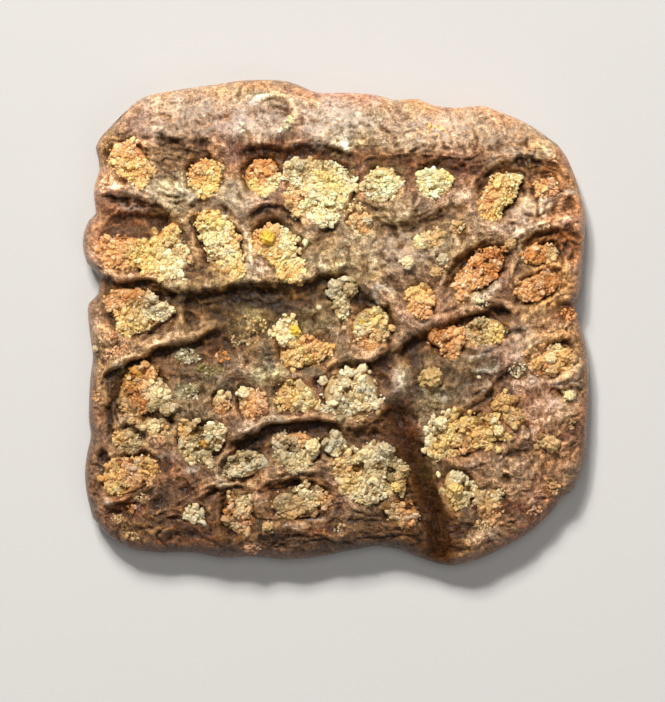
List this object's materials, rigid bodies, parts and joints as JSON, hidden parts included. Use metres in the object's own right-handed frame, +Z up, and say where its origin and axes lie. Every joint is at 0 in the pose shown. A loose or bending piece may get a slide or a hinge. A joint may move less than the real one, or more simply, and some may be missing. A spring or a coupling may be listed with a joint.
{
  "type": "fossil crocodile scute",
  "caption": "Flat squarish bony plate from a crocodile's back armour, with a smooth front facet, deep folds and pits filled with cemented sand.",
  "frame": {"origin": "on the flat underside, below the middle of the plate's outline", "axes": "+Z up out of the pitted face, +Y towards the smooth facet at the front edge, +X to the right seen from above"},
  "size_m": [0.0762, 0.073, 0.0099],
  "materials": {
    "bone": "fossil bone, brown to red-brown, fibrous and semi-gloss",
    "sand": "cemented quartz sand, cream, yellow and orange grains"
  },
  "bodies": {
    "root": {"scute": "bone", "sand_A1": "sand", "sand_A2": "sand", "sand_A3": "sand", "sand_A4": "sand", "sand_A5": "sand", "sand_A6": "sand", "sand_A7": "sand", "sand_A8": "sand", "sand_B1": "sand", "sand_B2": "sand", "sand_B3": "sand", "sand_B4": "sand", "sand_B5": "sand", "sand_B6": "sand", "sand_B7": "sand", "sand_B8": "sand", "sand_C1": "sand", "sand_C3": "sand", "sand_C4": "sand", "sand_C5": "sand", "sand_C6": "sand", "sand_C7": "sand", "sand_C8": "sand", "sand_C9": "sand", "sand_C10": "sand", "sand_D1": "sand", "sand_D4": "sand", "sand_D5": "sand", "sand_D6": "sand", "sand_D7": "sand", "sand_D11": "sand", "sand_D12": "sand", "sand_E1": "sand", "sand_E2": "sand", "sand_E3": "sand", "sand_E4": "sand", "sand_E5": "sand", "sand_E6": "sand", "sand_E7": "sand", "sand_E8": "sand", "sand_F1": "sand", "sand_F3": "sand", "sand_F4": "sand", "sand_F5": "sand", "sand_F7": "sand", "sand_F8": "sand", "sand_F9": "sand"}
  },
  "joints": []
}
